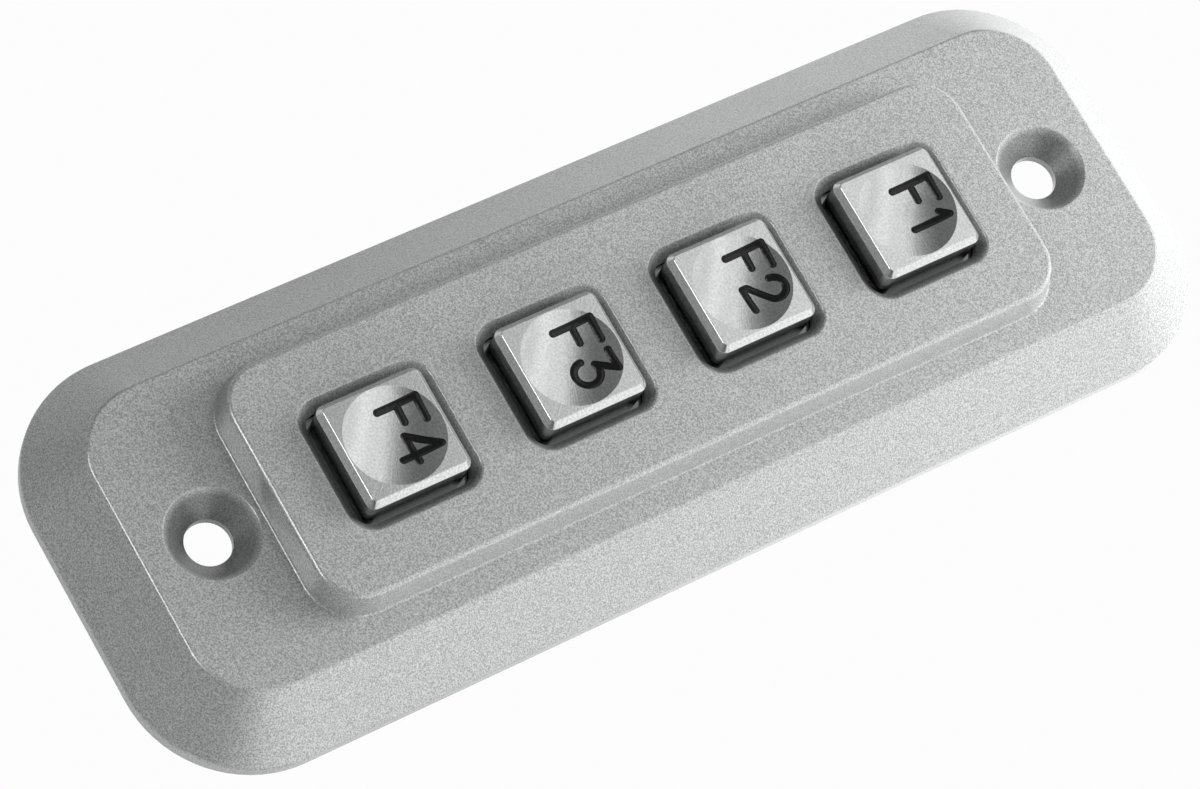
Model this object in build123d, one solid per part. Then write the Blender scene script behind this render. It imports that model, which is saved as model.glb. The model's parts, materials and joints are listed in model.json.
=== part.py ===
from build123d import *
import math
import os

# Four-key panel-mount function keypad, drawn lying on its mounting face.
# +Z points out of the keys, +Y runs along the row towards key F1, +X is the reading direction.
# The origin is in the middle of the rear mounting face. All sizes are in millimetres.

os.makedirs("parts", exist_ok=True)

# ---------------------------------------------------------------- driving dimensions
# key row
key_count = 4
key_pitch = 19.05
key_side = 11.04           # chromed cap above its flange
key_corner_radius = 0.95
key_chamfer_run = 0.52
key_chamfer_drop = 0.7
key_edge_blend = 0.1       # tiny rounding on both edges of the chamfer
key_proud = 2.2            # cap top above the island
key_travel = 1.2
key_wall = 1.4
key_roof = 1.2             # metal left under the deepest point of the dish
dish_margin = 0.1          # flat left between the dish and the chamfer, at the middle of each side
dish_depth = 0.75
flange_overlap = 1.1       # flange beyond the edge of the aperture
flange_thickness = 1.0
flange_corner_radius = 1.8
boss_radius = 2.4
boss_bore_depth = 1.6

# engraved legends
stroke_width = 0.76
glyph_height = 3.95        # between the lowest and highest stroke centre lines
engraving_depth = 0.35
infill_recess = 0.07       # paint surface below the metal around it

# die-cast bezel
aperture_gap = 0.53        # between a cap and its aperture, on each side
aperture_corner_radius = 1.6
entry_run = 0.95           # sloping entry around each aperture, at the island's top
entry_drop = 0.95
entry_edge_radius = 0.3
island_side_margin = 6.95  # aperture edge to island foot, across the row
island_end_margin = 6.7    # aperture edge to island foot, along the row
island_height = 3.15
island_draft = 12.0        # degrees
island_corner_radius = 5.0
island_top_radius = 0.5
island_foot_radius = 0.25
side_land = 2.8            # island foot to the bevel's upper edge, across the row
end_land = 12.3            # island foot to the bevel's upper edge, along the row
plateau_corner_radius = 6.8
plateau_edge_radius = 0.4
bevel_run = 5.4
side_wall_height = 1.6     # upright band under the bevel
rim_edge_radius = 0.4
foot_edge_radius = 0.3
face_thickness = 1.75      # roof of the island
plate_thickness = 3.1      # roof of the wide rear recess, which is as deep as the parts in it need
rear_clearance = 0.4       # mounting face to the lowest screw head
rim_width = 4.5            # rear rim that bears on the mounting panel
island_wall = 3.5          # island foot to the inner key well

# mounting holes, for M4 countersunk screws
screw_hole_diameter = 4.6
countersink_diameter = 9.1
countersink_angle = 90
countersink_margin = 0.63  # island foot to the countersink's edge
countersink_edge_radius = 0.2

# rear gasket
gasket_width = 1.9
gasket_thickness = 1.0
gasket_clearance = 0.05

# silicone keymat
mat_thickness = 1.0
mat_edge_clearance = 1.7   # mat and board inside the rear recess, on each side
mat_end_margin = 2.3       # island foot to the end of the mat and board
dome_hole_radius = 5.0
dome_wall = 0.6
dome_height = 1.6
plunger_radius = 2.6
plunger_collar_radius = 3.5
pip_radius = 1.0
pip_height = 1.3
pip_clearance = 0.05
pill_radius = 2.3
pill_thickness = 0.4
rest_gap = 0.3             # flange below the island roof, with the key at rest

# printed circuit board
board_thickness = 1.6
board_corner_radius = 1.5
pad_thickness = 0.04
pad_reach = 3.0            # from the middle of the key to the edge of its pads
pad_bar = 0.45
pad_gap = 0.4
pad_bars = 7

# board screws, M2 pan head
board_screw_diameter = 2.0
board_screw_head_diameter = 3.6
board_screw_head_height = 1.3
board_screw_reach = 2.4    # into the bezel
board_screw_clearance = 0.1
board_screw_inset = 1.05   # inside the island foot line
board_screw_rows = 3
board_screw_head_blend = 0.65
board_screw_point = 0.33   # chamfer at the tip
cross_width = 0.35         # cross recess in the head
cross_length = 1.8
cross_depth = 0.65

# flat-cable connector on the rear of the board
ffc_ways = 6
ffc_pitch = 1.0
ffc_end_width = 2.0        # housing beyond the last contact, on each side
ffc_depth = 3.8
ffc_height = 1.2
ffc_wall = 0.3
ffc_side_wall = 0.9
ffc_back = 1.0
contact_width = 0.3
contact_thickness = 0.15
contact_tail = 0.9
contact_clearance = 0.03
slider_depth = 1.5
slider_clearance = 0.04
slider_gap = 0.05          # between the closed slider and the housing's face
slider_lip = 0.5           # grip that stays outside the housing

# modelling aids
overcut = 1.0              # how far a cutter passes the face that it opens
hair = 0.001               # a fillet stays this much short of using up its face
near = 0.01                # tolerance for finding edges by their place

# ---------------------------------------------------------------- derived levels, from the mounting face
board_rear_z = rear_clearance + board_screw_head_height
board_top_z = board_rear_z + board_thickness
recess_z = board_top_z + mat_thickness
plateau_z = recess_z + plate_thickness
island_top_z = plateau_z + island_height
key_top_z = island_top_z + key_proud
roof_z = island_top_z - face_thickness
flange_top_z = roof_z - rest_gap
flange_rear_z = flange_top_z - flange_thickness
collar_rear_z = recess_z + dome_height
pill_rear_z = board_top_z + pad_thickness + key_travel
key_roof_z = key_top_z - dish_depth - key_roof
ffc_rear_z = board_rear_z - ffc_height

# ---------------------------------------------------------------- derived plan sizes
aperture_side = key_side + 2 * aperture_gap
flange_side = aperture_side + 2 * flange_overlap
row_length = (key_count - 1) * key_pitch + aperture_side
island_width = aperture_side + 2 * island_side_margin
island_length = row_length + 2 * island_end_margin
plateau_width = island_width + 2 * side_land
plateau_length = island_length + 2 * end_land
overall_width = plateau_width + 2 * bevel_run
overall_length = plateau_length + 2 * bevel_run
overall_corner_radius = plateau_corner_radius + bevel_run
screw_y = island_length / 2 + countersink_margin + countersink_diameter / 2
recess_width = overall_width - 2 * rim_width
recess_length = overall_length - 2 * rim_width
recess_corner_radius = overall_corner_radius - rim_width
well_width = island_width - 2 * island_wall
well_length = island_length - 2 * island_wall
board_width = recess_width - 2 * mat_edge_clearance
board_length = island_length - 2 * mat_end_margin
board_screw_x = island_width / 2 - board_screw_inset
board_screw_span = board_length / 2 - board_screw_head_diameter
key_positions = [(key_count - 1) / 2 * key_pitch - index * key_pitch for index in range(key_count)]
dish_radius = key_side / 2 - key_chamfer_run - dish_margin
sphere_radius = (dish_radius**2 + dish_depth**2) / (2 * dish_depth)
sphere_centre_z = key_top_z - dish_depth + sphere_radius

# ---------------------------------------------------------------- derived connector sizes
ffc_width = (ffc_ways - 1) * ffc_pitch + 2 * ffc_end_width
mouth_y = -ffc_depth / 2
mouth_width = ffc_width - 2 * ffc_side_wall
mouth_low = ffc_rear_z + ffc_wall
mouth_high = board_rear_z - ffc_wall
beam_z = mouth_high - contact_thickness - contact_clearance
contact_x = [index * ffc_pitch - (ffc_ways - 1) * ffc_pitch / 2 for index in range(ffc_ways)]


# ---------------------------------------------------------------- shared shapes
def block(width, length, radius, low, high):
    """Upright plate with rounded corners between two levels."""
    return Pos(0, 0, low) * extrude(RectangleRounded(width, length, radius), high - low)


def drafted_block(width, length, radius, low, high, inset):
    """Plate with rounded corners whose sides lean in by the inset on the way up."""
    foot = Pos(0, 0, low) * RectangleRounded(width, length, radius)
    top = Pos(0, 0, high) * RectangleRounded(width - 2 * inset, length - 2 * inset, radius - inset)
    return loft([foot, top], ruled=True)


def disc(radius, low, high):
    """Round plate between two levels."""
    return Pos(0, 0, low) * extrude(Circle(radius), high - low)


def edges_at(solid, level):
    """Edges that lie wholly at one level."""
    return solid.edges().filter_by_position(Axis.Z, level - hair, level + hair)


def board_screw_places():
    """Plan positions of the screws that hold the board and the mat."""
    step = 2 * board_screw_span / (board_screw_rows - 1)
    rows = [row * step - board_screw_span for row in range(board_screw_rows)]
    return [(side * board_screw_x, row) for side in (-1, 1) for row in rows]


def save(shape, name):
    """Write one sub-part as a STEP file."""
    export_step(shape, f"parts/{name}.step")


# ---------------------------------------------------------------- bezel
def bezel_skin():
    """Outer form: side wall, bevel, plateau and drafted island, with every outer edge rounded."""
    wall = block(overall_width, overall_length, overall_corner_radius, 0, side_wall_height)
    bevel = drafted_block(
        overall_width, overall_length, overall_corner_radius, side_wall_height, plateau_z, bevel_run
    )
    body = wall + bevel
    body = fillet(edges_at(body, plateau_z), plateau_edge_radius)
    body = fillet(edges_at(body, side_wall_height), rim_edge_radius)
    body = fillet(edges_at(body, 0), foot_edge_radius)
    inset = island_height * math.tan(math.radians(island_draft))
    island = drafted_block(
        island_width, island_length, island_corner_radius, plateau_z, island_top_z, inset
    )
    island = fillet(edges_at(island, island_top_z), island_top_radius)
    body += island
    reach_x = island_width / 2 + near
    reach_y = island_length / 2 + near
    foot_edges = [
        edge for edge in edges_at(body, plateau_z)
        if abs(edge.center().X) < reach_x and abs(edge.center().Y) < reach_y
    ]
    return fillet(foot_edges, island_foot_radius)


def key_aperture():
    """Cutter for one aperture, with a sloping entry at the island's top."""
    side = aperture_side
    through = block(side, side, aperture_corner_radius, roof_z - overcut, island_top_z + overcut)
    entry = drafted_block(
        side, side, aperture_corner_radius, island_top_z - entry_drop, island_top_z, -entry_run
    )
    return through + entry


def entry_edges(body):
    """Upper edges of all the sloping entries."""
    reach = aperture_side / 2 + entry_run + near
    return [
        edge for edge in edges_at(body, island_top_z)
        if abs(edge.center().X) < reach
        and any(abs(edge.center().Y - y) < reach for y in key_positions)
    ]


def mounting_hole():
    """Cutter for one countersunk mounting hole, with a softened upper edge."""
    radius = countersink_diameter / 2
    bore = screw_hole_diameter / 2
    depth = (radius - bore) / math.tan(math.radians(countersink_angle / 2))
    cone = Pos(0, 0, plateau_z - depth) * extrude(Circle(bore), depth, taper=-countersink_angle / 2)
    return cone + disc(bore, 0, plateau_z) + disc(radius, plateau_z, plateau_z + overcut)


def rear_cuts():
    """Everything cut from the rear: wide recess, key well, gasket groove and screw pilots."""
    cuts = block(recess_width, recess_length, recess_corner_radius, -overcut, recess_z)
    cuts += block(well_width, well_length, flange_corner_radius, recess_z - overcut, roof_z)
    groove = gasket_ring(gasket_width + 2 * gasket_clearance, -overcut, gasket_thickness)
    for x, y in board_screw_places():
        pilot_radius = board_screw_diameter / 2 + board_screw_clearance / 2
        tip = recess_z + board_screw_reach + board_screw_clearance
        cuts += Pos(x, y, 0) * disc(pilot_radius, recess_z - overcut, tip)
    return cuts + groove


def gasket_ring(width, low, high):
    """Closed band that follows the middle of the rear rim."""
    outer_inset = (rim_width - width) / 2
    inner_inset = outer_inset + width
    outer = block(overall_width - 2 * outer_inset, overall_length - 2 * outer_inset,
                  overall_corner_radius - outer_inset, low, high)
    inner = block(overall_width - 2 * inner_inset, overall_length - 2 * inner_inset,
                  overall_corner_radius - inner_inset, low - overcut, high + overcut)
    return outer - inner


def make_bezel():
    """Die-cast bezel."""
    body = bezel_skin() - rear_cuts()
    for y in key_positions:
        body -= Pos(0, y, 0) * key_aperture()
    body = fillet(entry_edges(body), entry_edge_radius)
    for y in (-screw_y, screw_y):
        body -= Pos(0, y, 0) * mounting_hole()
    rims = [
        edge for edge in edges_at(body, plateau_z)
        if edge.geom_type == GeomType.CIRCLE and abs(edge.radius - countersink_diameter / 2) < near
    ]
    return fillet(rims, countersink_edge_radius)


# ---------------------------------------------------------------- legends
def stroke(*points):
    """Round-ended strokes along straight runs."""
    marks = []
    for start, end in zip(points, points[1:]):
        marks.append(SlotCenterToCenter(math.dist(start, end), stroke_width))
        middle = ((start[0] + end[0]) / 2, (start[1] + end[1]) / 2)
        angle = math.degrees(math.atan2(end[1] - start[1], end[0] - start[0]))
        marks[-1] = Pos(*middle) * Rot(0, 0, angle) * marks[-1]
    return marks


def curve(centre, radius, start, sweep):
    """Round-ended stroke along an arc, with angles in degrees."""
    arc = CenterArc(centre, radius, start, sweep)
    return [SlotArc(arc, stroke_width)]


def glyph_f():
    """Letter F from the foot of its stem."""
    top = glyph_height
    top_bar = 2.37
    middle_bar = 1.82
    return stroke((0, 0), (0, top), (top_bar, top)) + stroke((0, top / 2), (middle_bar, top / 2))


def glyph_1():
    """Digit 1 with a short flag."""
    top = glyph_height
    stem_x = 0.7
    flag_drop = 0.8
    return stroke((stem_x, 0), (stem_x, top), (0, top - flag_drop))


def glyph_2():
    """Digit 2: round crown, diagonal and foot."""
    radius = 1.12
    crown = glyph_height - radius
    start = 175
    end = -35
    foot_rise = 0.5
    foot_run = 2.4
    shoulder = math.radians(end)
    joint = (radius + radius * math.cos(shoulder), crown + radius * math.sin(shoulder))
    hook = curve((radius, crown), radius, start, end - start)
    return hook + stroke(joint, (0, foot_rise), (0, 0), (foot_run, 0))


def glyph_3():
    """Digit 3 with a flat top and one bowl, which drops a little below the base line."""
    top = glyph_height
    radius = 1.25
    bowl_drop = 0.2
    lean = 115
    tail = 180
    top_bar = 2.05
    bowl_y = radius - bowl_drop
    start = math.radians(lean)
    joint = (radius + radius * math.cos(start), bowl_y + radius * math.sin(start))
    bowl = curve((radius, bowl_y), radius, lean, -(lean + tail))
    return stroke((0, top), (top_bar, top), joint) + bowl


def glyph_4():
    """Digit 4 with a closed top."""
    top = glyph_height
    bar_y = 1.3
    bar_end = 2.8
    stem_x = 2.1
    return stroke((bar_end, bar_y), (0, bar_y), (stem_x, top), (stem_x, 0))


# each legend: the digit's strokes, where the F starts, where the digit starts, and their base line,
# all from the middle of the key
legends = [
    (glyph_1, -2.4, 1.25, -0.2),
    (glyph_2, -2.9, 0.5, -0.15),
    (glyph_3, -2.95, 0.6, -0.3),
    (glyph_4, -2.75, 0.25, -0.3),
]


def legend_prism(digit, letter_x, digit_x, base):
    """Upright prism of one legend, through the dish."""
    marks = [Pos(letter_x, base) * mark for mark in glyph_f()]
    marks += [Pos(digit_x, base) * mark for mark in digit()]
    flat = Sketch() + marks
    return extrude(Pos(0, 0, key_roof_z) * flat, key_top_z - key_roof_z)


def dish_ball(depth):
    """Ball whose lower cap is the dish surface moved down by a depth."""
    return Pos(0, 0, sphere_centre_z) * Sphere(sphere_radius + depth)


def make_legend(prism):
    """Paint infill at the bottom of the engraved strokes."""
    infill = (prism & dish_ball(engraving_depth)) - dish_ball(infill_recess)
    return infill - disc(key_side, key_top_z - infill_recess, key_top_z + overcut)


# ---------------------------------------------------------------- keys
def make_key_cap(prism):
    """Chromed cap with a spherical dish, engraved strokes, a retaining flange and a hollow underside."""
    cap = block(key_side, key_side, key_corner_radius, flange_rear_z, key_top_z)
    cap = chamfer_top(cap)
    cap += block(flange_side, flange_side, flange_corner_radius, flange_rear_z, flange_top_z)
    hollow_side = key_side - 2 * key_wall
    hollow = block(hollow_side, hollow_side, key_corner_radius, flange_rear_z, key_roof_z)
    hollow -= disc(boss_radius, flange_rear_z, key_roof_z)
    hollow += disc(pip_radius + pip_clearance, flange_rear_z, flange_rear_z + boss_bore_depth)
    cap -= hollow
    cap -= dish_ball(0)
    return cap - (prism & dish_ball(engraving_depth))


def chamfer_top(cap):
    """Chamfer the cap's upper edge and blend both of its edges."""
    crown = cap.faces().sort_by(Axis.Z)[-1]
    cap = chamfer(crown.edges(), length=key_chamfer_run, length2=key_chamfer_drop, reference=crown)
    cap = fillet(edges_at(cap, key_top_z), key_edge_blend)
    return fillet(edges_at(cap, key_top_z - key_chamfer_drop), key_edge_blend)


def make_plunger():
    """Solid centre of one silicone key: collar, core that carries the pill, and locating pip."""
    collar = disc(plunger_collar_radius, collar_rear_z, flange_rear_z)
    core = disc(plunger_radius, pill_rear_z + pill_thickness, collar_rear_z)
    pip = disc(pip_radius, flange_rear_z, flange_rear_z + pip_height)
    return collar + core + pip


def make_pill():
    """Conductive carbon disc under the plunger."""
    return disc(pill_radius, pill_rear_z, pill_rear_z + pill_thickness)


def make_dome():
    """Thin conical web that springs the plunger off the mat."""
    foot = dome_hole_radius + dome_wall
    crown = plunger_collar_radius
    profile = Polyline(
        (foot, recess_z),
        (crown, collar_rear_z),
        (crown - dome_wall, collar_rear_z),
        (foot - dome_wall, recess_z),
        close=True,
    )
    return revolve(Plane.XZ * make_face(profile), Axis.Z)


# ---------------------------------------------------------------- mat, board and pads
def make_keymat():
    """Flat web of the silicone keymat."""
    sheet = block(board_width, board_length, board_corner_radius, board_top_z, recess_z)
    for y in key_positions:
        sheet -= Pos(0, y, 0) * disc(dome_hole_radius, board_top_z, recess_z)
    return sheet - screw_passages(board_top_z, recess_z)


def screw_passages(low, high):
    """Clearance holes for the board screws."""
    radius = board_screw_diameter / 2 + board_screw_clearance
    return Part() + [Pos(x, y, 0) * disc(radius, low, high) for x, y in board_screw_places()]


def make_board():
    """Circuit board."""
    board = block(board_width, board_length, board_corner_radius, board_rear_z, board_top_z)
    return board - screw_passages(board_rear_z, board_top_z)


def make_pads():
    """Two interleaved gold combs under every pill, as one group."""
    step = (2 * pad_reach - pad_bar) / (pad_bars - 1)
    finger = 2 * pad_reach - pad_bar - pad_gap
    combs = []
    for side in (-1, 1):
        bus = Pos(0, side * (pad_reach - pad_bar / 2)) * Rectangle(2 * pad_reach, pad_bar)
        first = 0 if side < 0 else 1
        bar_x = [index * step - pad_reach + pad_bar / 2 for index in range(first, pad_bars, 2)]
        bar_y = side * (pad_bar + pad_gap) / 2
        bars = [Pos(x, bar_y) * Rectangle(pad_bar, finger) for x in bar_x]
        combs.append(extrude(Pos(0, 0, board_top_z) * (bus + bars), pad_thickness))
    return Part() + [Pos(0, y, 0) * comb for y in key_positions for comb in combs]


def make_board_screws():
    """Pan-head screws that clamp the board and the mat to the bezel, as one group."""
    radius = board_screw_diameter / 2
    head_radius = board_screw_head_diameter / 2
    head_z = board_rear_z - board_screw_head_height
    head = disc(head_radius, head_z, board_rear_z)
    head = fillet(edges_at(head, head_z), board_screw_head_blend)
    cross = Rectangle(cross_width, cross_length) + Rectangle(cross_length, cross_width)
    head -= extrude(Pos(0, 0, head_z) * cross, cross_depth)
    tip_z = recess_z + board_screw_reach
    shank = disc(radius, board_rear_z, tip_z)
    screw = head + chamfer(edges_at(shank, tip_z), board_screw_point)
    return Part() + [Pos(x, y, 0) * screw for x, y in board_screw_places()]


# ---------------------------------------------------------------- flat-cable connector
# the housing hangs under the board with its mouth towards -Y


def bar(x, y0, y1, width, low, high):
    """Straight rectangular bar along Y, centred on x."""
    middle = (y0 + y1) / 2
    return Pos(x, middle, low) * extrude(Rectangle(width, y1 - y0), high - low)


def make_ffc_housing():
    """Housing with an open mouth and a passage for each contact."""
    housing = bar(0, mouth_y, -mouth_y, ffc_width, ffc_rear_z, board_rear_z)
    housing -= bar(0, mouth_y - overcut, -mouth_y - ffc_back, mouth_width, mouth_low, mouth_high)
    passages = [
        bar(x, -mouth_y - ffc_back - overcut, -mouth_y + overcut, contact_width + 2 * contact_clearance,
            beam_z - contact_clearance, beam_z + contact_thickness + contact_clearance)
        for x in contact_x
    ]
    return housing - passages


def make_ffc_contacts():
    """Contact beams with their soldered tails, as one group."""
    tail_y = -mouth_y + contact_thickness
    contacts = []
    for x in contact_x:
        beam = bar(x, mouth_y + slider_depth / 2, tail_y + contact_thickness, contact_width,
                   beam_z, beam_z + contact_thickness)
        riser = bar(x, tail_y, tail_y + contact_thickness, contact_width, beam_z, board_rear_z)
        tail = bar(x, tail_y, tail_y + contact_tail, contact_width,
                   board_rear_z - contact_thickness, board_rear_z)
        contacts.append(beam + riser + tail)
    return Part() + contacts


def make_ffc_slider():
    """Locking slider: a tongue in the mouth and a grip lip outside it."""
    tongue_top = beam_z - contact_clearance - slider_clearance
    tongue = bar(0, mouth_y, mouth_y + slider_depth, mouth_width - 2 * slider_clearance,
                 mouth_low + slider_clearance, tongue_top)
    lip = bar(0, mouth_y - slider_gap - slider_lip, mouth_y - slider_gap, ffc_width,
              ffc_rear_z, board_rear_z - slider_gap)
    neck = bar(0, mouth_y - slider_gap, mouth_y, mouth_width - 2 * slider_clearance,
               mouth_low + slider_clearance, tongue_top)
    return tongue + neck + lip


# ---------------------------------------------------------------- write every sub-part
save(make_bezel(), "bezel")
save(gasket_ring(gasket_width, 0, gasket_thickness), "rear_gasket")
save(make_keymat(), "keymat_sheet")
save(make_board(), "circuit_board")
save(make_pads(), "contact_pads")
save(make_board_screws(), "board_screws")
save(make_ffc_housing(), "ffc_housing")
save(make_ffc_contacts(), "ffc_contacts")
save(make_ffc_slider(), "ffc_slider")

for number, (y, legend) in enumerate(zip(key_positions, legends), start=1):
    place = Pos(0, y, 0)
    prism = legend_prism(*legend)
    save(place * make_key_cap(prism), f"key_cap_f{number}")
    save(place * make_legend(prism), f"legend_f{number}")
    save(place * make_plunger(), f"plunger_f{number}")
    save(place * make_pill(), f"carbon_pill_f{number}")
    save(place * make_dome(), f"dome_f{number}")
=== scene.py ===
import json
import math

import bpy
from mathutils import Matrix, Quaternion, Vector


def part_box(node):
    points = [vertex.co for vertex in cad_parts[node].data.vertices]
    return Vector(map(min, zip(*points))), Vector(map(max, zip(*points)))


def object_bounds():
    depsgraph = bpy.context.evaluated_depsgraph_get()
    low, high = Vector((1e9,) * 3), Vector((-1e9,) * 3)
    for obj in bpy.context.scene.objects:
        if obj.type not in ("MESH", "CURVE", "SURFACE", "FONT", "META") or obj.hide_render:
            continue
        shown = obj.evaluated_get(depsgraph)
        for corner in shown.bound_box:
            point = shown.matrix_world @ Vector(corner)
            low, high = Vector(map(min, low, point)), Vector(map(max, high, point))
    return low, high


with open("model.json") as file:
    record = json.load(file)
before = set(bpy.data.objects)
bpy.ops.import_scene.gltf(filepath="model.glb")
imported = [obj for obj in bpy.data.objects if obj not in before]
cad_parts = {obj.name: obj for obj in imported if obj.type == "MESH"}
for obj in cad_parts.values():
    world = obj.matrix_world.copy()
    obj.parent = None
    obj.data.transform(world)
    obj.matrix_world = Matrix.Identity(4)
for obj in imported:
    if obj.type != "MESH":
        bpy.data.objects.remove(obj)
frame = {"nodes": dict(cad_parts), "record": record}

# Looks for the four-key function keypad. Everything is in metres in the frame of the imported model:
# +Z out of the keys, +Y along the row towards key F1, +X the reading direction of the legends.

cad_low, cad_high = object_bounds()
mm = 0.001

# ---------------------------------------------------------------- camera
camera_spot = Vector((112.26, -183.44, 399.12)) * mm
camera_aim = Vector((4.34, -9.0, 12.75)) * mm
camera_roll = math.radians(31.02)
camera_lens = 142.8        # millimetres
sensor_width = 36.0        # millimetres
nearest_seen = 0.01
farthest_seen = 100.0

# ---------------------------------------------------------------- bezel paint
flake_size = 0.15 * mm
paint_cloud_size = 6 * mm
cast_grain = 0.9 * mm
paint_relief = 0.012 * mm
paint_roughness = (0.34, 0.4)
# painted shade: the paint colour is darkened inside the key apertures and the countersinks
island_height = 3.15 * mm
opening_half_width = 7.4 * mm
last_key_reach = 38 * mm   # beyond this along the row, the openings start at the plateau
last_hole_reach = 51.4 * mm
shade_depth = 0.6 * mm     # over this depth, the painted shade deepens
shade_floor = 0.5          # to this share of its brightness
rear_facing = -0.5         # faces whose normal points further down than this are on the rear

# ---------------------------------------------------------------- chrome
# painted shade: the chrome colour is bright on the crown of a key and is painted darker down its sides, into
# the gap around it
crown_depth = 0.9 * mm
skirt_depth = 5.2 * mm
skirt_shade_level = 0.06
chrome_tint = (0.985, 1.0, 1.0)
hairline_size = 0.25 * mm
hairline_depth = 0.005 * mm
chrome_mottle_size = 0.22 * mm
chrome_mottle_depth = 0.004 * mm
chrome_roughness = (0.12, 0.22)

# ---------------------------------------------------------------- legends
wrinkle_size = 0.35 * mm
wrinkle_depth = 0.02 * mm
shoulder_radius = 0.5 * mm
legend_roughness = (0.08, 0.14)

# ---------------------------------------------------------------- inside and rear
moulding_cloud_size = 4 * mm
pore_size = 0.25 * mm
pore_depth = 0.01 * mm
moulding_roughness_swing = 0.06
plating_mottle_size = 0.3 * mm
plating_mottle_depth = 0.004 * mm
plating_roughness_swing = 0.08
track_scale = 9 * mm       # lengths of the track pattern are shares of this
track_depth = 0.03 * mm
mask_grain = 0.4 * mm
mask_roughness = (0.3, 0.4)

# ---------------------------------------------------------------- stage and light
floor_drop = 0.05 * mm     # floor below the mounting face
floor_side = 30.0
floor_glow = 0.98          # seen directly, the floor and the backdrop are nearly white
floor_dim = 0.62           # light that it sends back to the keypad on the side away from the lamp
floor_lit = 1.25           # and on the side of the lamp
# the sky is brightest towards this direction and is graded by the angle to it
bright_side = Vector((0.45, 0.8, 0.1)).normalized()
# cosine of that angle, and the brightness there
sky_levels = [
    (-1.0, 0.34),
    (-0.5, 0.28),
    (-0.15, 0.18),
    (0.1, 0.15),
    (0.26, 0.4),
    (0.37, 1.05),
    (0.44, 0.85),
    (0.58, 1.15),
    (0.68, 0.75),
    (0.8, 1.15),
    (1.0, 1.15),
]
# small soft spot beyond the F4 end, for the bright lines along the edges
spot_side = Vector((-0.25, -0.62, 0.74)).normalized()
spot_level = 7.0
spot_outer = math.cos(math.radians(16))
spot_inner = math.cos(math.radians(8))
# soft square lamps, near enough for their light to fall off along the row: name, place, side, watts
lamps = [
    ("end_lamp", Vector((75, 275, 115)) * mm, 200 * mm, 2.75),
    ("side_lamp", Vector((300, -90, 50)) * mm, 200 * mm, 0.85),
]


def make_camera():
    """Camera at the photograph's angle, rolled so that the row runs up to the right."""
    camera = bpy.data.objects.new("camera", bpy.data.cameras.new("camera"))
    bpy.context.scene.collection.objects.link(camera)
    camera.data.lens = camera_lens
    camera.data.sensor_width = sensor_width
    camera.data.clip_start = nearest_seen
    camera.data.clip_end = farthest_seen
    camera.location = camera_spot
    camera.rotation_mode = "QUATERNION"
    level = (camera_aim - camera_spot).to_track_quat("-Z", "Y")
    camera.rotation_quaternion = level @ Quaternion((0, 0, 1), camera_roll)
    bpy.context.scene.camera = camera


# ---------------------------------------------------------------- node helpers
def add(tree, kind, inputs=None, **settings):
    """New node, with its settings, and with values or links on its inputs."""
    made = tree.nodes.new(kind)
    for name, value in settings.items():
        setattr(made, name, value)
    for name, value in (inputs or {}).items():
        if isinstance(value, bpy.types.NodeSocket):
            tree.links.new(value, made.inputs[name])
        else:
            made.inputs[name].default_value = value
    return made


def grey(level, tint=(1.0, 1.0, 1.0)):
    """Colour of one brightness, with a tint."""
    return (level * tint[0], level * tint[1], level * tint[2], 1.0)


def start_material(name, **sockets):
    """New material with a Principled shader, whose constant sockets are set here."""
    material = bpy.data.materials.new(name)
    material.use_nodes = True
    shader = material.node_tree.nodes["Principled BSDF"]
    for socket, value in sockets.items():
        shader.inputs[socket.replace("_", " ")].default_value = value
    return material, material.node_tree, shader


def place(tree):
    """Coordinates fixed to the piece, in metres."""
    return add(tree, "ShaderNodeTexCoord").outputs["Object"]


def noise(tree, size, detail=2.0, vector=None):
    """Noise from 0 to 1 whose features are about this size, in metres."""
    where = place(tree) if vector is None else vector
    made = add(tree, "ShaderNodeTexNoise", {"Vector": where, "Scale": 1 / size, "Detail": detail})
    return made.outputs[0]


def spread(tree, value, low, high, start=0.3, end=0.7):
    """A value stretched from start..end to low..high."""
    limits = {"Value": value, "From Min": start, "From Max": end, "To Min": low, "To Max": high}
    return add(tree, "ShaderNodeMapRange", limits).outputs[0]


def calculate(tree, operation, *values):
    """One step of arithmetic on values or links."""
    return add(tree, "ShaderNodeMath", dict(enumerate(values)), operation=operation).outputs[0]


def blend_colours(tree, factor, first, second):
    """Mix of two colours, by number because the node repeats its socket names for each kind of value."""
    made = add(tree, "ShaderNodeMix", {0: factor, 6: first, 7: second}, data_type="RGBA")
    return made.outputs[2]


def bump(tree, height, depth, normal=None):
    """Surface relief of this depth in metres, over another normal if there is one."""
    inputs = {"Height": height, "Distance": depth, "Strength": 1.0}
    if normal is not None:
        inputs["Normal"] = normal
    return add(tree, "ShaderNodeBump", inputs).outputs[0]


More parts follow.
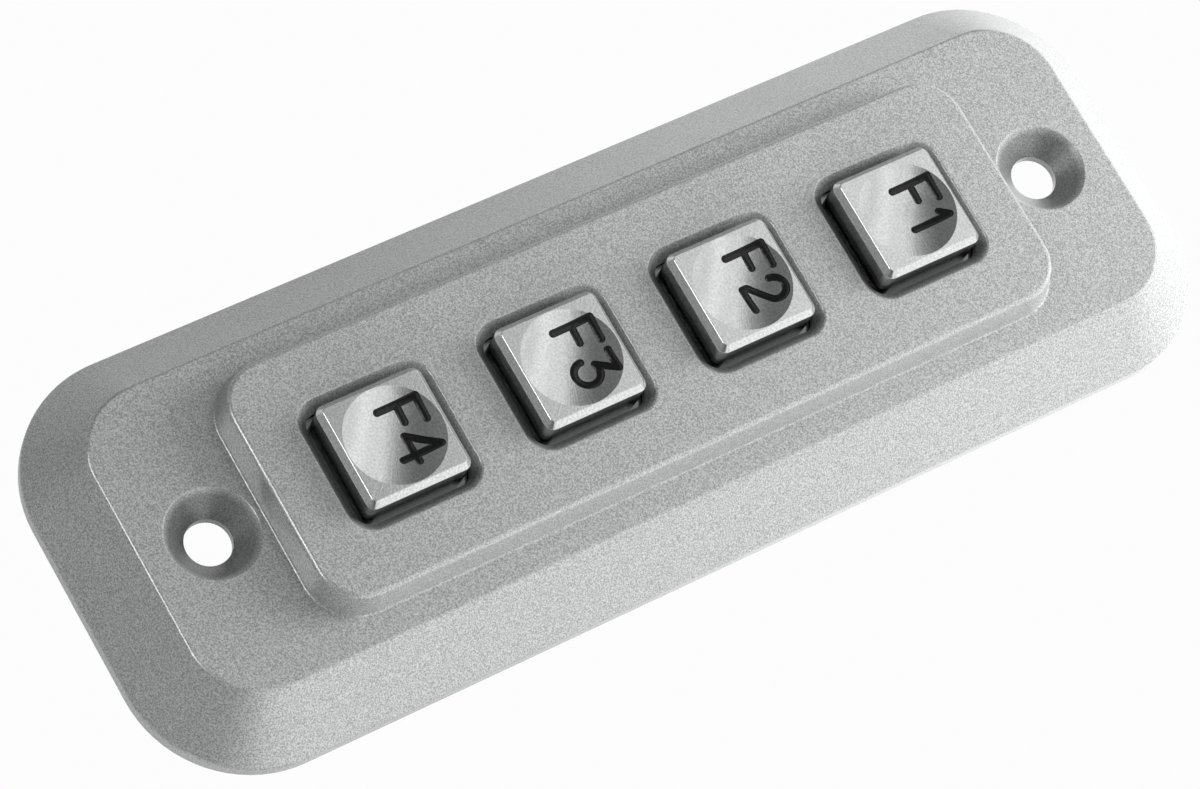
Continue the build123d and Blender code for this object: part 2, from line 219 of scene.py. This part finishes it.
# ---------------------------------------------------------------- materials
def opening_shade(tree):
    """Painted shade: 1 on the outer and rear surfaces, falling to a lower value down the apertures and
    countersinks.
    """
    facing = add(tree, "ShaderNodeTexCoord").outputs["Normal"]
    upward = add(tree, "ShaderNodeSeparateXYZ", {0: facing}).outputs["Z"]
    position = add(tree, "ShaderNodeSeparateXYZ", {0: place(tree)}).outputs
    across = calculate(tree, "ABSOLUTE", position["X"])
    along = calculate(tree, "ABSOLUTE", position["Y"])
    # the plateau is raised to the island's height, so that one depth serves both kinds of opening
    step = calculate(tree, "MULTIPLY", calculate(tree, "GREATER_THAN", along, last_key_reach), island_height)
    height = calculate(tree, "ADD", position["Z"], step)
    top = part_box("bezel")[1].z
    shade = spread(tree, height, shade_floor, 1, start=top - shade_depth, end=top)
    # the painted shade counts only in the strip that holds the openings, and not on the rear
    inside = calculate(tree, "LESS_THAN", across, opening_half_width)
    inside = calculate(tree, "MULTIPLY", inside, calculate(tree, "LESS_THAN", along, last_hole_reach))
    inside = calculate(tree, "MULTIPLY", inside, calculate(tree, "GREATER_THAN", upward, rear_facing))
    made = add(tree, "ShaderNodeMix", {"Factor": inside, "A": 1.0, "B": shade}, data_type="FLOAT")
    return made.outputs[0]


def bezel_paint():
    """Silver-grey metallic paint with fine flakes over a cast surface."""
    material, tree, shader = start_material(
        "bezel_paint", Metallic=0.45, Coat_Weight=0.8, Coat_Roughness=0.16
    )
    flakes = noise(tree, flake_size, detail=1.0)
    clouds = noise(tree, paint_cloud_size)
    dull = grey(0.2, (0.985, 1.015, 1.0))
    bright = grey(0.45, (0.985, 1.01, 1.0))
    colour = blend_colours(tree, spread(tree, flakes, 0, 1), dull, bright)
    # painted shade: the paint colour is blended towards black down the apertures and countersinks
    colour = blend_colours(tree, opening_shade(tree), grey(0.0), colour)
    tree.links.new(colour, shader.inputs["Base Color"])
    tree.links.new(spread(tree, clouds, *paint_roughness), shader.inputs["Roughness"])
    relief = bump(tree, noise(tree, cast_grain), paint_relief)
    tree.links.new(bump(tree, flakes, paint_relief, relief), shader.inputs["Normal"])
    return material


def from_key_middle(tree):
    """Coordinates that stay the same along every line out from the middle of the nearest key."""
    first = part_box("key_cap_f1")
    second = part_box("key_cap_f2")
    middle = (first[0].y + first[1].y) / 2
    pitch = middle - (second[0].y + second[1].y) / 2
    reach = (first[1].x - first[0].x) / 2
    position = add(tree, "ShaderNodeSeparateXYZ", {0: place(tree)}).outputs
    along = calculate(tree, "WRAP", calculate(tree, "SUBTRACT", position["Y"], middle), pitch / 2, -pitch / 2)
    flat = add(tree, "ShaderNodeCombineXYZ", {"X": position["X"], "Y": along})
    unit = add(tree, "ShaderNodeVectorMath", {0: flat.outputs[0]}, operation="NORMALIZE")
    ring = add(tree, "ShaderNodeVectorMath", {0: unit.outputs[0], "Scale": reach}, operation="SCALE")
    return ring.outputs[0]


def chrome():
    """Satin chrome plate, with fine polishing lines that run out from the middle of each key, and painted
    shade down the sides of each key.
    """
    material, tree, shader = start_material("chrome", Metallic=1.0)
    turned = from_key_middle(tree)
    hairlines = noise(tree, hairline_size, detail=4.0, vector=turned)
    mottle = noise(tree, chrome_mottle_size, detail=4.0)
    dull = grey(0.6, chrome_tint)
    bright = grey(0.8, chrome_tint)
    polished = blend_colours(tree, spread(tree, mottle, 0, 1), dull, bright)
    # painted shade: below the crown, the polished colour gives way to a dark grey down the key's sides
    height = add(tree, "ShaderNodeSeparateXYZ", {0: place(tree)}).outputs["Z"]
    shown = spread(tree, height, 0, 1, start=cad_high.z - skirt_depth, end=cad_high.z - crown_depth)
    colour = blend_colours(tree, shown, grey(skirt_shade_level), polished)
    tree.links.new(colour, shader.inputs["Base Color"])
    tree.links.new(spread(tree, hairlines, *chrome_roughness), shader.inputs["Roughness"])
    relief = bump(tree, mottle, chrome_mottle_depth)
    tree.links.new(bump(tree, hairlines, hairline_depth, relief), shader.inputs["Normal"])
    return material


def legend_black():
    """Glossy black paint that has sunk a little in its engraving, with rounded shoulders."""
    material, tree, shader = start_material("legend_black", Specular_IOR_Level=0.4)
    wrinkles = noise(tree, wrinkle_size)
    colour = blend_colours(tree, wrinkles, grey(0.002), grey(0.006))
    tree.links.new(colour, shader.inputs["Base Color"])
    tree.links.new(spread(tree, wrinkles, *legend_roughness), shader.inputs["Roughness"])
    rounded = add(tree, "ShaderNodeBevel", {"Radius": shoulder_radius}, samples=8)
    tree.links.new(bump(tree, wrinkles, wrinkle_depth, rounded.outputs[0]), shader.inputs["Normal"])
    return material


def roughen(tree, shader, texture, middle, swing):
    """Let a texture move the roughness this far below and above its middle value."""
    tree.links.new(spread(tree, texture, middle - swing, middle + swing), shader.inputs["Roughness"])


def soft_moulding(name, low, high, roughness, tint=(1.0, 1.0, 1.0)):
    """Moulded rubber or plastic with a fine grain and slight cloudiness."""
    material, tree, shader = start_material(name)
    cloud = noise(tree, moulding_cloud_size)
    pores = noise(tree, pore_size)
    colour = blend_colours(tree, cloud, grey(low, tint), grey(high, tint))
    tree.links.new(colour, shader.inputs["Base Color"])
    roughen(tree, shader, pores, roughness, moulding_roughness_swing)
    tree.links.new(bump(tree, pores, pore_depth), shader.inputs["Normal"])
    return material


def plated_metal(name, dull, bright, roughness):
    """Plated metal with a mottled surface."""
    material, tree, shader = start_material(name, Metallic=1.0)
    mottle = noise(tree, plating_mottle_size, detail=3.0)
    colour = blend_colours(tree, mottle, dull, bright)
    tree.links.new(colour, shader.inputs["Base Color"])
    roughen(tree, shader, mottle, roughness, plating_roughness_swing)
    tree.links.new(bump(tree, mottle, plating_mottle_depth), shader.inputs["Normal"])
    return material


def solder_mask():
    """Green solder mask over rows of short copper tracks."""
    material, tree, shader = start_material("board", Coat_Weight=0.35, Coat_Roughness=0.2)
    tracks = add(tree, "ShaderNodeTexBrick", {
        "Vector": place(tree),
        "Color1": grey(0.0),
        "Color2": grey(0.0),
        "Mortar": grey(1.0),
        "Scale": 1 / track_scale,
        "Mortar Size": 0.03,
        "Mortar Smooth": 0.3,
        "Brick Width": 1.3,
        "Row Height": 0.22,
    }).outputs["Fac"]
    colour = blend_colours(tree, tracks, (0.006, 0.07, 0.03, 1), (0.02, 0.16, 0.06, 1))
    tree.links.new(colour, shader.inputs["Base Color"])
    tree.links.new(spread(tree, noise(tree, mask_grain), *mask_roughness), shader.inputs["Roughness"])
    tree.links.new(bump(tree, tracks, track_depth), shader.inputs["Normal"])
    return material


materials = {
    "bezel_paint": bezel_paint(),
    "gasket_rubber": soft_moulding("gasket_rubber", 0.018, 0.03, 0.75),
    "silicone": soft_moulding("silicone", 0.34, 0.4, 0.5),
    "board": solder_mask(),
    "gold": plated_metal("gold", (0.78, 0.52, 0.19, 1), (0.92, 0.68, 0.3, 1), 0.28),
    "screw_steel": plated_metal("screw_steel", grey(0.45), grey(0.6), 0.34),
    "connector_body": soft_moulding("connector_body", 0.62, 0.7, 0.45, tint=(1.0, 0.96, 0.84)),
    "connector_slider": soft_moulding("connector_slider", 0.03, 0.045, 0.42, tint=(1.0, 0.9, 0.8)),
    "chrome": chrome(),
    "legend_black": legend_black(),
    "carbon": soft_moulding("carbon", 0.012, 0.02, 0.65),
}


def paint_cad_nodes():
    """Give every CAD node the detailed material of its slot."""
    for part in frame["record"]["subparts"]:
        shown = frame["nodes"][part["node"]]
        shown.data.materials.clear()
        shown.data.materials.append(materials[part["material_slot"]])


# ---------------------------------------------------------------- stage
def make_floor():
    """Plain pale floor: one near-white level to the camera, and a graded level in what it lights."""
    half = floor_side / 2
    mesh = bpy.data.meshes.new("floor")
    corners = [(-half, -half, 0), (half, -half, 0), (half, half, 0), (-half, half, 0)]
    mesh.from_pydata(corners, [], [(0, 1, 2, 3)])
    floor = bpy.data.objects.new("floor", mesh)
    floor.location.z = cad_low.z - floor_drop
    bpy.context.scene.collection.objects.link(floor)
    material = bpy.data.materials.new("floor")
    material.use_nodes = True
    tree = material.node_tree
    tree.nodes.clear()
    toward = add(tree, "ShaderNodeVectorMath", {0: place(tree)}, operation="NORMALIZE")
    lit = add(tree, "ShaderNodeVectorMath", {0: toward.outputs[0], 1: bright_side}, operation="DOT_PRODUCT")
    sent = spread(tree, lit.outputs["Value"], floor_dim, floor_lit, start=-1, end=1)
    seen = add(tree, "ShaderNodeLightPath").outputs["Is Camera Ray"]
    level = add(tree, "ShaderNodeMix", {"Factor": seen, "A": sent, "B": floor_glow}, data_type="FLOAT")
    light = add(tree, "ShaderNodeEmission", {"Strength": level.outputs[0]})
    add(tree, "ShaderNodeOutputMaterial", {"Surface": light.outputs[0]})
    mesh.materials.append(material)


def make_sky():
    """Soft studio surround: bright on one side, graded to grey on the other, plain to the camera."""
    world = bpy.data.worlds.new("studio")
    bpy.context.scene.world = world
    world.use_nodes = True
    tree = world.node_tree
    tree.nodes.clear()
    direction = add(tree, "ShaderNodeTexCoord").outputs["Generated"]
    toward = add(tree, "ShaderNodeVectorMath", {0: direction, 1: bright_side}, operation="DOT_PRODUCT")
    along = spread(tree, toward.outputs["Value"], 0, 1, start=-1, end=1)
    ramp = add(tree, "ShaderNodeValToRGB", {"Fac": along})
    stops = ramp.color_ramp.elements
    strongest = max(level for _, level in sky_levels)
    while len(stops) < len(sky_levels):
        stops.new(1.0)
    for stop, (cosine, level) in zip(stops, sky_levels):
        stop.position = (cosine + 1) / 2
        stop.color = grey(level / strongest)
    to_spot = add(tree, "ShaderNodeVectorMath", {0: direction, 1: spot_side}, operation="DOT_PRODUCT")
    spot = spread(tree, to_spot.outputs["Value"], 0, spot_level, start=spot_outer, end=spot_inner)
    graded = add(tree, "ShaderNodeVectorMath", {0: ramp.outputs[0], "Scale": strongest}, operation="SCALE")
    total = add(tree, "ShaderNodeVectorMath", {0: graded.outputs[0], 1: spot}, operation="ADD")
    light = add(tree, "ShaderNodeBackground", {"Color": total.outputs[0], "Strength": 1.0})
    plain = add(tree, "ShaderNodeBackground", {"Color": grey(1.0), "Strength": floor_glow})
    seen = add(tree, "ShaderNodeLightPath").outputs["Is Camera Ray"]
    mix = add(tree, "ShaderNodeMixShader", {0: seen, 1: light.outputs[0], 2: plain.outputs[0]})
    add(tree, "ShaderNodeOutputWorld", {"Surface": mix.outputs[0]})


def make_lamp(name, spot, side, watts):
    """Soft square lamp turned towards the keypad, which adds diffuse light and no highlight."""
    lamp = bpy.data.objects.new(name, bpy.data.lights.new(name, "AREA"))
    lamp.data.size = side
    lamp.data.energy = watts
    lamp.visible_camera = False
    lamp.visible_glossy = False
    lamp.location = spot
    lamp.rotation_mode = "QUATERNION"
    lamp.rotation_quaternion = (camera_aim - spot).to_track_quat("-Z", "Y")
    bpy.context.scene.collection.objects.link(lamp)


make_camera()
make_floor()
make_sky()
for lamp in lamps:
    make_lamp(*lamp)
paint_cad_nodes()
bpy.context.scene.view_settings.view_transform = "Standard"
